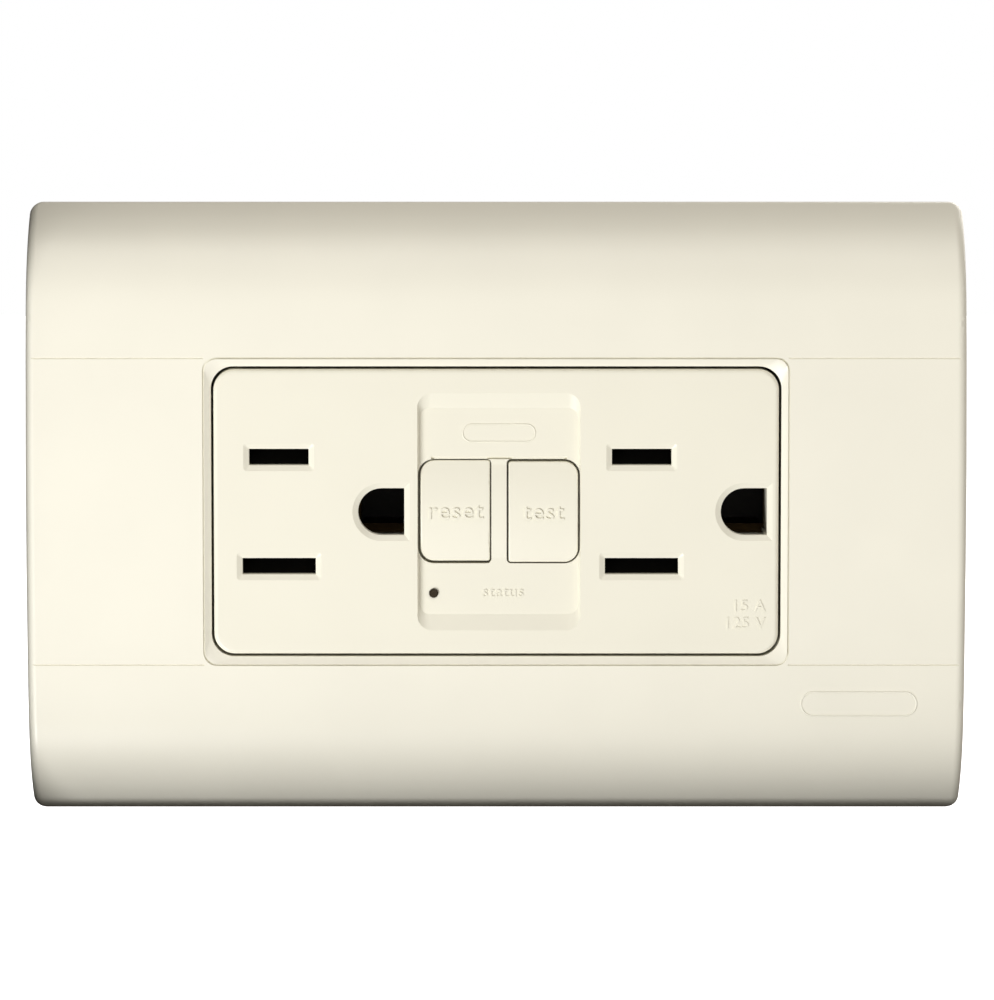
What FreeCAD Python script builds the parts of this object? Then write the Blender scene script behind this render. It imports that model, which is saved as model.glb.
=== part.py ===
"""Duplex ground-fault receptacle with a screwless wall plate, mounted with its long side level.

Millimetres. +X runs along the plate, +Z is up and +Y goes into the wall, so the face looks along -Y.
The origin is the middle of the two box screws, on the wall's surface. Every piece is its own STEP file.
"""

import FreeCAD, Part
import math
import os

V = FreeCAD.Vector
ALONG_X, ALONG_Y, ALONG_Z = V(1, 0, 0), V(0, 1, 0), V(0, 0, 1)

# Wall plate
PLATE_WIDTH = 108.4
PLATE_HEIGHT = 71.0
PLATE_FRONT = -8.6  # the flat band's front
PLATE_WALL = 2.0
PLATE_CORNER = 1.5
SIDE_BULGE = 0.3  # how far the two short sides bow out at their middle
BAND_HALF = 17.6  # half the height of the flat band
SHOULDER_RADIUS, SHOULDER_ANGLE = 110.0, 3.6  # the gentle arc next to the band
EDGE_ANGLE = 60.0  # slope of the front at the top and bottom edges
SIDE_ROUND = 1.1

# Window in the wall plate
WINDOW_W, WINDOW_H, WINDOW_R = 66.0, 33.75, 2.6
RIM_W, RIM_H, RIM_R = 67.5, 35.45, 1.4  # outer edge of the bevel round the window
RIM_DEPTH = 0.55
GROOVE = 0.22  # width and depth of the line round the bevel
SEAM_DEPTH = 0.14  # depth of the two lines that part the band from the curved sides

# Receptacle face and body
FACE_W, FACE_H, FACE_R = 65.4, 33.1, 2.4
FACE_FRONT = -8.5
FACE_WALL = 1.8
FACE_ROUND = 0.5
BODY_W, BODY_H, BODY_R = 70.0, 43.0, 2.5
BODY_FRONT, BODY_SEAM, BODY_BACK = -1.2, 2.6, 27.0
BODY_WALL = 1.8

# Sockets: the grounding pin lies 11.89 from the line through the two blades, which stand 12.7 apart
BLADE_X = (-25.15, 16.85)
PIN_OFFSET = 11.89
BLADE_Z = 6.35
HOT_SLOT, NEUTRAL_SLOT, SLOT_GAP = 6.9, 8.5, 1.9
PIN_HOLE_R, PIN_HOLE_FLAT = 2.73, 2.62
LEAD_IN, LEAD_IN_DEPTH = 0.65, 0.4

# Recessed control panel with its two buttons
PANEL_X, PANEL_W, PANEL_H, PANEL_R = 0.33, 18.9, 27.6, 1.7
PANEL_RAMP, PANEL_DEPTH = 1.8, 0.8
RESET_X, TEST_X = -4.80, 5.46
KEY_W, KEY_H, KEY_GAP = 8.05, 11.7, 0.22
RESET_SEAT, TEST_SEAT = (0.07, 0.08), (0.0, -0.08)  # how far each cap sits off its opening's middle (x, z)
KEY_LIP = 0.35  # bevel along the top of the two openings
KEY_OUTER_R, KEY_INNER_R = 1.6, 0.3
CROWN_RADIUS = 19.0
CROWN_TOP = -8.45
RESET_TRAVEL, TEST_TRAVEL = 2.2, 1.5
LIGHT_X, LIGHT_Z, LIGHT_R = -7.25, -9.54, 0.5

# Strap
STRAP_T = 1.2
STRAP_END, EAR_START = 50.5, 36.6
BOX_SCREW_PITCH, PLATE_SCREW_PITCH = 83.34, 96.84
STRAP_DROP = 2.2  # how far the middle of the strap lies behind its ears
SCREW_R = 1.75
SLIP = 0.05  # clearance round a screw or pin in its own hole

# Switching parts inside
DECK_Y = (9.7, 10.7)
BOARD_Y = (20.6, 22.2)
ARM_Y = (10.85, 11.35)
LATCH_Y = 14.8
PLUNGER_TRAVEL, LIFTER_TRAVEL = 1.8, 1.4
TOROID_X = 19.0
TERMINAL_X, TERMINAL_Y = 22.0, 13.5


def box(x, y, z):
    """A box from three (low, high) pairs, in either order."""
    low = V(min(x), min(y), min(z))
    size = [max(s) - min(s) for s in (x, y, z)]
    return Part.makeBox(size[0], size[1], size[2], low)


def rod(radius, start, end):
    """A cylinder between two points."""
    a, b = V(*start), V(*end)
    return Part.makeCylinder(radius, (b - a).Length, a, b - a)


def cone(r_start, r_end, start, end):
    a, b = V(*start), V(*end)
    return Part.makeCone(r_start, r_end, (b - a).Length, a, b - a)


def join(*shapes):
    whole = shapes[0].fuse(list(shapes[1:])) if len(shapes) > 1 else shapes[0]
    return whole.removeSplitter()


def corner_arc(cx, cz, radius, start_deg, y):
    """A quarter arc in the plane at depth y, anticlockwise as seen from behind the wall."""
    angles = [math.radians(start_deg + a) for a in (0, 45, 90)]
    points = [V(cx + radius * math.cos(a), y, cz + radius * math.sin(a)) for a in angles]
    return Part.Arc(*points).toShape()


def rounded_outline(width, height, radii, y, cx=0.0, cz=0.0):
    """A rectangle's wire with its own radius at each corner: +X+Z, -X+Z, -X-Z, +X-Z."""
    if isinstance(radii, (int, float)):
        radii = [radii] * 4
    signs = [(1, 1), (-1, 1), (-1, -1), (1, -1)]
    arcs = []
    for (sx, sz), radius, start in zip(signs, radii, (0, 90, 180, 270)):
        centre_x = cx + sx * (width / 2 - radius)
        centre_z = cz + sz * (height / 2 - radius)
        arcs.append(corner_arc(centre_x, centre_z, radius, start, y))
    edges = []
    for arc, following in zip(arcs, arcs[1:] + arcs[:1]):
        edges += [arc, Part.makeLine(arc.Vertexes[-1].Point, following.Vertexes[0].Point)]
    return Part.Wire(edges)


def slab(width, height, radii, y, cx=0.0, cz=0.0):
    """A rounded rectangle extruded from y[0] to y[1]."""
    outline = rounded_outline(width, height, radii, y[0], cx, cz)
    return Part.Face(outline).extrude(V(0, y[1] - y[0], 0))


def tapered(front, back):
    """A solid between two rounded outlines, such as a bevel's cutter."""
    return Part.makeLoft([front, back], True, True)


def polygon_along_x(points_yz, x):
    """A prism along X whose section is a list of (y, z) points."""
    corners = [V(x[0], y, z) for y, z in points_yz]
    return Part.Face(Part.makePolygon(corners + corners[:1])).extrude(V(x[1] - x[0], 0, 0))


def coil_spring(mean_r, wire_r, start, end, turns):
    """A helical spring whose wire just reaches both end points."""
    a, b = V(*start), V(*end)
    length = (b - a).Length - 2 * wire_r
    helix = Part.Wire(Part.makeHelix(length / turns, length, mean_r))
    section = Part.Wire(Part.makeCircle(wire_r, V(mean_r, 0, 0), ALONG_Y))
    spring = helix.makePipeShell([section], True, True)
    turn = FreeCAD.Rotation(ALONG_Z, b - a)
    spring.Placement = FreeCAD.Placement(a + (b - a).normalize() * wire_r, turn)
    return spring


# ---------------------------------------------------------------- wall plate


def plate_section(inset, x):
    """The plate's curved front as a prism along X, drawn inset from the outside by the wall."""
    t1, edge = math.radians(SHOULDER_ANGLE), math.radians(EDGE_ANGLE)
    z1 = BAND_HALF + SHOULDER_RADIUS * math.sin(t1)
    y1 = PLATE_FRONT + SHOULDER_RADIUS * (1 - math.cos(t1))
    radius = (PLATE_HEIGHT / 2 - z1) / (math.sin(edge) - math.sin(t1))
    centre_y, centre_z = y1 + radius * math.cos(t1), z1 - radius * math.sin(t1)
    top = PLATE_HEIGHT / 2 - inset
    end = math.asin((top - centre_z) / (radius - inset))

    def on_shoulder(angle):
        r = SHOULDER_RADIUS - inset
        return PLATE_FRONT + SHOULDER_RADIUS - r * math.cos(angle), BAND_HALF + r * math.sin(angle)

    def on_edge(angle):
        r = radius - inset
        return centre_y - r * math.cos(angle), centre_z + r * math.sin(angle)

    half = [on_shoulder(0), on_shoulder(t1 / 2), on_shoulder(t1)]
    half += [on_edge((t1 + end) / 2), on_edge(end)]
    back = inset if inset else 0.0  # the cavity's cutter runs out of the back

    def place(point, side):
        return V(x[0], point[0], side * point[1])

    edges = []
    for side in (1, -1):
        band_end, shoulder_mid, shoulder_end, edge_mid, edge_end = [place(p, side) for p in half]
        edges += [
            Part.Arc(band_end, shoulder_mid, shoulder_end).toShape(),
            Part.Arc(shoulder_end, edge_mid, edge_end).toShape(),
            Part.makeLine(edge_end, V(x[0], back, side * top)),
        ]
    edges.append(Part.makeLine(place(half[0], 1), place(half[0], -1)))
    edges.append(Part.makeLine(V(x[0], back, top), V(x[0], back, -top)))
    outline = Part.Wire(Part.__sortEdges__(edges))
    return Part.Face(outline).extrude(V(x[1] - x[0], 0, 0))


def plate_outline(inset, y):
    """The plate's outline as a prism along Y: level top and bottom, slightly bowed sides."""
    half_w, half_h = PLATE_WIDTH / 2 - inset, PLATE_HEIGHT / 2 - inset
    corners = [V(sx * half_w, y[0], sz * half_h) for sx, sz in ((1, -1), (1, 1), (-1, 1), (-1, -1))]
    bow = half_w + SIDE_BULGE
    wire = Part.Wire(
        [
            Part.Arc(corners[0], V(bow, y[0], 0), corners[1]).toShape(),
            Part.makeLine(corners[1], corners[2]),
            Part.Arc(corners[2], V(-bow, y[0], 0), corners[3]).toShape(),
            Part.makeLine(corners[3], corners[0]),
        ]
    )
    prism = Part.Face(wire).extrude(V(0, y[1] - y[0], 0))
    upright = [e for e in prism.Edges if abs(e.tangentAt(e.FirstParameter).y) > 0.99]
    return prism.makeFillet(max(PLATE_CORNER - inset, 0.5), upright)


def window_cutter():
    """The window, the bevel round it and the fine line round the bevel."""
    y_front, y_bevel = PLATE_FRONT, PLATE_FRONT + RIM_DEPTH
    hole = slab(WINDOW_W, WINDOW_H, WINDOW_R, (y_front - 1, 0))
    bevel = tapered(
        rounded_outline(RIM_W, RIM_H, RIM_R, y_front),
        rounded_outline(WINDOW_W, WINDOW_H, WINDOW_R, y_bevel),
    )
    line_out = slab(RIM_W + 2 * GROOVE, RIM_H + 2 * GROOVE, RIM_R + GROOVE, (y_front - 1, y_front + GROOVE))
    line_in = slab(RIM_W + 0.02, RIM_H + 0.02, RIM_R, (y_front - 2, y_front + 1))
    return [hole, bevel, line_out.cut(line_in)]


def seam_cutters():
    """Two shallow V lines from the window's corners to the plate's short sides, top and bottom."""
    cutters = []
    for side in (1, -1):
        z = side * (RIM_H / 2 + GROOVE / 2)
        section = [(PLATE_FRONT + SEAM_DEPTH, z), (PLATE_FRONT - 1, z + 0.8), (PLATE_FRONT - 1, z - 0.8)]
        for x in ((RIM_W / 2 + GROOVE / 2, PLATE_WIDTH), (-PLATE_WIDTH, -RIM_W / 2 - GROOVE / 2)):
            cutters.append(polygon_along_x(section, x))
    return cutters


CLIP_X, CLIP_Z = 30.0, 24.5
CLIP_W, CLIP_T, CLIP_BEAD = 6.0, 1.4, 0.5


def plate_clips():
    """Four tongues that plug into the mounting frame, each with a small bead near its end."""
    clips = []
    for sx in (1, -1):
        for sz in (1, -1):
            x = (sx * CLIP_X - CLIP_W / 2, sx * CLIP_X + CLIP_W / 2)
            z = (sz * CLIP_Z, sz * (CLIP_Z + CLIP_T))
            bead_z = sz * (CLIP_Z + CLIP_T)
            tongue = box(x, (-7.0, -0.5), z)
            bead = polygon_along_x([(-1.1, bead_z), (-0.8, bead_z + sz * CLIP_BEAD), (-0.5, bead_z)], x)
            clips.append(tongue.fuse(bead))
    return clips


def wall_plate():
    half = PLATE_WIDTH / 2 + 1
    body = plate_section(0, (-half, half)).common(plate_outline(0, (PLATE_FRONT - 1, 0)))

    def is_side_edge(edge):
        """The long curved edges where the front meets the two short sides."""
        middle = edge.valueAt((edge.FirstParameter + edge.LastParameter) / 2)
        return abs(middle.x) > PLATE_WIDTH / 2 - 0.1 and middle.y < -1.0 and abs(middle.z) < 34.5

    body = body.makeFillet(SIDE_ROUND, [e for e in body.Edges if is_side_edge(e)])
    inner = PLATE_WIDTH / 2 - PLATE_WALL
    cavity = plate_section(PLATE_WALL, (-inner, inner)).common(plate_outline(PLATE_WALL, (PLATE_FRONT, 2)))
    body = body.cut(cavity)
    collar = slab(WINDOW_W + 2.8, WINDOW_H + 2.8, WINDOW_R + 1.4, (PLATE_FRONT + 1, -3.4))
    body = join(body, collar, *plate_clips())
    return body.cut(window_cutter() + seam_cutters())


# ------------------------------------------------------- frame behind the plate

FRAME_W, FRAME_H, FRAME_Y = 101.6, 62.0, (-3.2, -1.25)
FRAME_WINDOW_W, FRAME_WINDOW_H = 67.4, 34.6
HEAD_R, HEAD_T = 3.4, 1.6


def mounting_frame():
    plate = slab(FRAME_W, FRAME_H, 4.0, FRAME_Y)
    skirt = slab(FRAME_W, FRAME_H, 4.0, (FRAME_Y[1], -0.05))
    skirt = skirt.cut(slab(FRAME_W - 4, FRAME_H - 4, 2.5, (FRAME_Y[1] - 1, 1)))
    skirt = skirt.cut(box((-60, 60), (-2, 1), (-17.5, 17.5)))
    ribs = [box((-32, 32), (FRAME_Y[0] - 0.8, FRAME_Y[0]), (s * 28.0, s * 29.2)) for s in (1, -1)]
    frame = join(plate, skirt, *ribs)
    cuts = [slab(FRAME_WINDOW_W, FRAME_WINDOW_H, 3.0, (-5, 1))]
    for side in (1, -1):
        cuts.append(rod(4.6, (side * BOX_SCREW_PITCH / 2, -5, 0), (side * BOX_SCREW_PITCH / 2, 1, 0)))
        x = side * PLATE_SCREW_PITCH / 2
        cuts.append(rod(SCREW_R + 0.25, (x, -5, 0), (x, 1, 0)))
        cuts.append(cone(HEAD_R + 0.2, SCREW_R + 0.1, (x, FRAME_Y[0], 0), (x, FRAME_Y[0] + HEAD_T + 0.1, 0)))
        for sz in (1, -1):
            z_mid = sz * (CLIP_Z + CLIP_T / 2 + 0.15)
            cuts.append(
                box(
                    (side * CLIP_X - CLIP_W / 2 - 0.4, side * CLIP_X + CLIP_W / 2 + 0.4),
                    (-5, 1),
                    (z_mid - 1.4, z_mid + 1.4),
                )
            )
    return frame.cut(cuts)


def flat_head_screw(x, y_head, y_end, head_r=HEAD_R):
    """A countersunk screw along Y with a crossed recess in its head."""
    head = cone(head_r, SCREW_R, (x, y_head, 0), (x, y_head + HEAD_T, 0))
    shank = rod(SCREW_R, (x, y_head + HEAD_T, 0), (x, y_end, 0))
    slots = [box((x - a, x + a), (y_head - 1, y_head + 0.8), (-b, b)) for a, b in ((1.9, 0.4), (0.4, 1.9))]
    return join(head, shank).cut(slots)


def frame_screws():
    return [flat_head_screw(s * PLATE_SCREW_PITCH / 2, FRAME_Y[0] + 0.1, 5.0) for s in (1, -1)]


# ---------------------------------------------------------------------- strap

GROUND_TAB_X, GROUND_TAB_Z, GROUND_Y = 42.5, -16.5, 5.0


def pin_x():
    return [x + PIN_OFFSET for x in BLADE_X]


def mounting_strap():
    ears, walls = [], []
    for side in (1, -1):
        middle = side * (STRAP_END + EAR_START) / 2
        length = STRAP_END - EAR_START + 1.2
        ears.append(slab(length, 33.0, 2.5, (-STRAP_T, 0), middle - side * 0.6))
        walls.append(box((side * 35.4, side * EAR_START), (-STRAP_T, STRAP_DROP), (-11, 11)))
        walls.append(box((side * 30.8, side * 36.0), (STRAP_DROP - STRAP_T, STRAP_DROP), (-11, 11)))
    y_mid = (STRAP_DROP - STRAP_T, STRAP_DROP)
    spine = box((-35, 35), y_mid, (-4.2, 4.2))
    pads = [box((x - 5, x + 5), y_mid, (-6.5, 6.5)) for x in pin_x()]
    tab = box((GROUND_TAB_X - 4, GROUND_TAB_X + 4), (-STRAP_T, 9.0), (GROUND_TAB_Z, GROUND_TAB_Z + STRAP_T))
    strap = join(*ears, *walls, spine, *pads, tab)
    cuts = [slab(7.2, 6.8, 0.8, (0, 4), x + 0.3) for x in pin_x()]
    cuts += [rod(1.0 + SLIP, (x - RIVET_BACK, 0, 0), (x - RIVET_BACK, 4, 0)) for x in pin_x()]
    cuts += [rod(2.1, (RESET_X, 0, 0), (RESET_X, 4, 0)), rod(1.8, (TEST_X, 0, 0), (TEST_X, 4, 0))]
    for side in (1, -1):
        x = side * BOX_SCREW_PITCH / 2
        cuts.append(slab(6.8, 4.2, 2.0, (-3, 1), x))
        x = side * PLATE_SCREW_PITCH / 2
        cuts.append(rod(SCREW_R + SLIP, (x, -3, 0), (x, 1, 0)))
    hole = (GROUND_TAB_X, GROUND_Y)
    cuts.append(rod(SCREW_R + SLIP, (*hole, GROUND_TAB_Z - 1), (*hole, GROUND_TAB_Z + 3)))
    return strap.cut(cuts)


def box_screws():
    """The two screws that hold the strap to the wall box, with oval heads on the ears."""
    screws = []
    for side in (1, -1):
        x = side * BOX_SCREW_PITCH / 2
        head = rod(3.6, (x, -STRAP_T - 1.0, 0), (x, -STRAP_T, 0))
        dome = cone(2.4, 3.6, (x, -STRAP_T - 1.9, 0), (x, -STRAP_T - 1.0, 0))
        neck = rod(SCREW_R - 0.25, (x, -STRAP_T, 0), (x, 0, 0))
        shank = rod(SCREW_R, (x, 0, 0), (x, 18.0, 0))
        point = cone(SCREW_R, 0.9, (x, 18.0, 0), (x, 19.2, 0))
        slot_y = (-STRAP_T - 3, -STRAP_T - 1.1)
        slots = [box((x - a, x + a), slot_y, (-b, b)) for a, b in ((2.0, 0.45), (0.45, 2.0))]
        screws.append(join(head, dome, neck, shank, point).cut(slots))
    return screws


RIVET_BACK = 5.8  # from a grounding pin back to its contact's rivet
LEAF_T = 0.6


def ground_contact(x):
    """One stamped clip: a foot riveted to the strap and three leaves round the grounding pin."""
    y_foot = (STRAP_DROP, STRAP_DROP + LEAF_T)
    foot = box((x - RIVET_BACK - 1.8, x + 3.4), y_foot, (-3.6, 3.6))
    y_leaf = (STRAP_DROP, 9.3)
    leaves = [box((x - 2.2, x + 2.2), y_leaf, (s * 2.4, s * (2.4 + LEAF_T))) for s in (1, -1)]
    stop = box((x - 2.6 - LEAF_T, x - 2.6), y_leaf, (-1.9, 1.9))
    clip = join(foot, *leaves, stop)
    through = box((x - 2.6, x + 2.6), (0, 20), (-2.4, 2.4))
    rivet = rod(1.0 + SLIP, (x - RIVET_BACK, 0, 0), (x - RIVET_BACK, 4, 0))
    return clip.cut([through, rivet])


def ground_contacts():
    return [ground_contact(x) for x in pin_x()]


def ground_contact_rivets():
    rivets = []
    for x in [x - RIVET_BACK for x in pin_x()]:
        back = STRAP_DROP + LEAF_T
        shank = rod(1.0, (x, STRAP_DROP - STRAP_T, 0), (x, back, 0))
        heads = [
            cone(1.1, 1.7, (x, STRAP_DROP - STRAP_T - 0.5, 0), (x, STRAP_DROP - STRAP_T, 0)),
            cone(1.7, 1.1, (x, back, 0), (x, back + 0.5, 0)),
        ]
        rivets.append(join(shank, *heads))
    return rivets


# ------------------------------------------------------------ screw terminals

CLAMP_T, CLAMP_SIDE = 1.2, 9.0
TERMINAL_FACE = 17.2  # outer face of a terminal plate, from the middle plane
TERMINAL_HEAD_R, TERMINAL_HEAD_T = 3.9, 2.2


def clamp_plate(x, y, z, out):
    """A pressure plate with two wire grooves, lying on a face at z and looking along out * Z."""
    z0 = z + out * 0.1
    plate = box((x - CLAMP_SIDE / 2, x + CLAMP_SIDE / 2), (y - 4.5, y + 4.5), (z0, z0 + out * CLAMP_T))
    hole = rod(SCREW_R + 0.1, (x, y, z0 - out), (x, y, z0 + out * 3))
    grooves = [rod(0.5, (x + s * 3.0, y - 6, z0), (x + s * 3.0, y + 6, z0)) for s in (1, -1)]
    return plate.cut([hole, *grooves])


def terminal_screw(x, y, z, out, length, hexagonal=False):
    """A binding screw along out * Z whose head sits on the clamp plate at z."""
    z0 = z + out * (0.1 + CLAMP_T + 0.05)
    z_top = z0 + out * TERMINAL_HEAD_T
    if hexagonal:
        radius = TERMINAL_HEAD_R
        corners = [
            V(x + radius * math.cos(math.radians(a)), y + radius * math.sin(math.radians(a)), z0)
            for a in range(0, 360, 60)
        ]
        head = Part.Face(Part.makePolygon(corners + corners[:1])).extrude(V(0, 0, z_top - z0))
    else:
        rim = z_top - out * 0.5
        head = join(
            rod(TERMINAL_HEAD_R, (x, y, z0), (x, y, rim)),
            cone(TERMINAL_HEAD_R, TERMINAL_HEAD_R - 0.5, (x, y, rim), (x, y, z_top)),
        )
    shank = rod(SCREW_R, (x, y, z0), (x, y, z0 - out * length))
    slots = [
        box((x - a, x + a), (y - b, y + b), (z_top - out * 1.3, z_top + out)) for a, b in ((3.0, 0.45), (0.45, 1.8))
    ]
    return join(head, shank).cut(slots)


def terminal_plate(x, side):
    """The upright brass plate that a wire is clamped against."""
    plate = box((x - 4.5, x + 4.5), (9.0, 18.0), (side * (TERMINAL_FACE - 0.8), side * TERMINAL_FACE))
    hole = rod(SCREW_R + SLIP, (x, TERMINAL_Y, side * 10), (x, TERMINAL_Y, side * 20))
    return plate.cut(hole)


def line_terminal(side):
    """Terminal plate with a tail that goes down into the circuit board."""
    x = -TERMINAL_X
    shelf = box((x - 2, x + 2), (17.4, 18.0), (side * 13.4, side * TERMINAL_FACE))
    tail = box((x - 1, x + 1), (17.4, BOARD_Y[1] + 0.6), (side * 13.4, side * 14.2))
    return join(terminal_plate(x, side), shelf, tail)


def load_terminal(side):
    """Terminal plate with a strip that runs back to the fixed load contact."""
    x = TERMINAL_X
    strip = box((-15, x + 4.5), (9.0, 9.6), (side * 12.2, side * 15.4))
    shelf = box((x - 4.5, x + 4.5), (9.0, 9.6), (side * 12.2, side * TERMINAL_FACE))
    return join(terminal_plate(x, side), strip, shelf).cut(rivet_hole(CONTACT_X, side * LOAD_CONTACT_Z))


# ------------------------------------------------------------- blade contacts

CONTACT_X, FACE_CONTACT_Z, LOAD_CONTACT_Z, CONTACT_R = -12.5, 10.0, 13.7, 1.4
GRIP_INNER, GRIP_OUTER = 5.55, 7.15  # the two faces that grip a blade


def rivet_hole(x, z):
    return rod(0.6 + SLIP, (x, 5, z), (x, 15, z))


def blade_grip(x, side):
    """Two leaves that grip a blade, flared at their mouth."""
    x_span = (x - 3.3, x + 3.3)
    inner = [
        (-4.6, GRIP_INNER - 0.5),
        (-3.0, GRIP_INNER),
        (9.6, GRIP_INNER),
        (9.6, GRIP_INNER - LEAF_T),
        (-2.9, GRIP_INNER - LEAF_T),
        (-4.6, GRIP_INNER - LEAF_T - 0.4),
    ]
    outer = [
        (-4.6, GRIP_OUTER + 0.5),
        (-3.0, GRIP_OUTER),
        (9.6, GRIP_OUTER),
        (9.6, GRIP_OUTER + LEAF_T),
        (-2.9, GRIP_OUTER + LEAF_T),
        (-4.6, GRIP_OUTER + LEAF_T + 0.4),
    ]
    leaves = [polygon_along_x([(y, side * z) for y, z in leaf], x_span) for leaf in (inner, outer)]
    base = box(x_span, (9.0, 9.6), (side * (GRIP_INNER - LEAF_T), side * 8.8))
    return leaves + [base]


def contact_bar(side):
    """The brass bar that feeds both sockets on one side of the circuit."""
    pieces = [piece for x in BLADE_X for piece in blade_grip(x, side)]
    pieces.append(box((BLADE_X[0] - 3.3, BLADE_X[1] + 3.3), (5.5, 9.6), (side * 8.1, side * 8.8)))
    pieces.append(box((-15, -10), (9.0, 9.6), (side * 8.1, side * 11.6)))
    return join(*pieces).cut(rivet_hole(CONTACT_X, side * FACE_CONTACT_Z))


def fixed_contact_rivets():
    """Silver contacts, one under each contact bar and each load strip."""
    rivets = []
    for side in (1, -1):
        for z in (side * FACE_CONTACT_Z, side * LOAD_CONTACT_Z):
            shank = rod(0.6, (CONTACT_X, 8.7, z), (CONTACT_X, 9.6, z))
            face = rod(CONTACT_R, (CONTACT_X, 9.6, z), (CONTACT_X, 10.2, z))
            peened = rod(1.0, (CONTACT_X, 8.7, z), (CONTACT_X, 9.0, z))
            rivets.append(join(shank, face, peened))
    return rivets


# ---------------------------------------------------------- switching parts

ARM_ROOT_X, ARM_TIP_X, ARM_Z = 8.4, -15.0, 11.8


def contact_arm(side):
    """A springy arm with a T-shaped tip that carries two silver contacts, as separate solids."""
    blade = box((ARM_TIP_X, ARM_ROOT_X), ARM_Y, (side * (ARM_Z - 1.4), side * (ARM_Z + 1.4)))
    tip = box((ARM_TIP_X, -10), ARM_Y, (side * 8.4, side * 15.2))
    holes = [rod(0.6, (CONTACT_X, 5, side * z), (CONTACT_X, 15, side * z)) for z in (FACE_CONTACT_Z, LOAD_CONTACT_Z)]
    contacts = []
    for z in (side * FACE_CONTACT_Z, side * LOAD_CONTACT_Z):
        face = rod(CONTACT_R, (CONTACT_X, 10.25, z), (CONTACT_X, ARM_Y[0], z))
        shank = rod(0.6, (CONTACT_X, ARM_Y[0], z), (CONTACT_X, ARM_Y[1], z))
        contacts.append(face.fuse(shank))
    return [join(blade, tip).cut(holes), *contacts]


def line_bar(side):
    """From the circuit board through the two toroids, then across to the root of the arm."""
    leg = box((TOROID_X - 1.3, TOROID_X + 1.3), (ARM_Y[0], BOARD_Y[1] + 0.6), (side * 0.9, side * 1.9))
    across = box((TOROID_X - 1.5, TOROID_X + 1.5), ARM_Y, (side * 0.9, side * (ARM_Z + 1.4)))
    along = box((ARM_ROOT_X + 0.1, TOROID_X + 1.5), ARM_Y, (side * (ARM_Z - 1.4), side * (ARM_Z + 1.4)))
    return join(leg, across, along)


LIFTER_X = (-9.5, 5.0)
WELL_X, WELL_Z, WELL_END = -1.5, 5.6, 16.0
LATCH_T, LATCH_HALF_W = 0.8, 3.0
LATCH_X = (-12.0, 0.6)


def contact_lifter():
    """The carriage that pushes both arms forward, with a slot for the latch plate."""
    body = slab(LIFTER_X[1] - LIFTER_X[0], 15.8, 0.8, (11.4, 17.4), sum(LIFTER_X) / 2)
    wings = box((-6.0, 0.0), (ARM_Y[1] + SLIP, 12.6), (-14.4, 14.4))
    slot_half = LATCH_T / 2 + 0.1
    cuts = [
        rod(1.7, (RESET_X, 5, 0), (RESET_X, 25, 0)),
        box(
            (LIFTER_X[0] - 1, LIFTER_X[1] - 1.0),
            (LATCH_Y - slot_half, LATCH_Y + slot_half),
            (-LATCH_HALF_W - 0.1, LATCH_HALF_W + 0.1),
        ),
        rod(1.35, (LATCH_X[1] - 1.0, LATCH_Y, 0), (LIFTER_X[1] - 1.0, LATCH_Y, 0)),
        *[rod(1.45, (WELL_X, 10, s * WELL_Z), (WELL_X, WELL_END, s * WELL_Z)) for s in (1, -1)],
    ]
    return join(body, wings).cut(cuts)


def latch_plate():
    """A steel slide with a keyhole: narrow round the pin's neck at rest, wide enough for its head when tripped."""
    y = (LATCH_Y - LATCH_T / 2, LATCH_Y + LATCH_T / 2)
    plate = box(LATCH_X, y, (-LATCH_HALF_W, LATCH_HALF_W))
    wide = rod(1.5, (RESET_X - PLUNGER_TRAVEL, 5, 0), (RESET_X - PLUNGER_TRAVEL, 25, 0))
    narrow = box((RESET_X - PLUNGER_TRAVEL, RESET_X), (5, 25), (-0.95, 0.95))
    end = rod(0.95, (RESET_X, 5, 0), (RESET_X, 25, 0))
    return plate.cut([wide, narrow, end])


def lifter_springs():
    """Two springs from the deck into the carriage, which push the arms open when the latch lets go."""
    springs = []
    for side in (1, -1):
        z = side * WELL_Z
        springs.append(coil_spring(1.1, 0.25, (WELL_X, DECK_Y[1], z), (WELL_X, WELL_END, z), 4))
    return springs


def latch_spring():
    return coil_spring(0.95, 0.16, (LATCH_X[1], LATCH_Y, 0), (LIFTER_X[1] - 1.0, LATCH_Y, 0), 4)


SOLENOID_X = (-30.4, -15.6)


def solenoid_bobbin():
    tube = rod(2.5, (SOLENOID_X[0], LATCH_Y, 0), (SOLENOID_X[1], LATCH_Y, 0))
    flanges = [
        rod(4.0, (SOLENOID_X[0], LATCH_Y, 0), (SOLENOID_X[0] + 0.8, LATCH_Y, 0)),
        rod(4.0, (SOLENOID_X[1] - 0.8, LATCH_Y, 0), (SOLENOID_X[1], LATCH_Y, 0)),
    ]
    bore = rod(2.0, (SOLENOID_X[0] - 1, LATCH_Y, 0), (SOLENOID_X[1] + 1, LATCH_Y, 0))
    return join(tube, *flanges).cut(bore)


def solenoid_coil():
    x = (SOLENOID_X[0] + 0.8, SOLENOID_X[1] - 0.8)
    coil = rod(3.7, (x[0], LATCH_Y, 0), (x[1], LATCH_Y, 0))
    return coil.cut(rod(2.5, (x[0], LATCH_Y, 0), (x[1], LATCH_Y, 0)))


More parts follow.
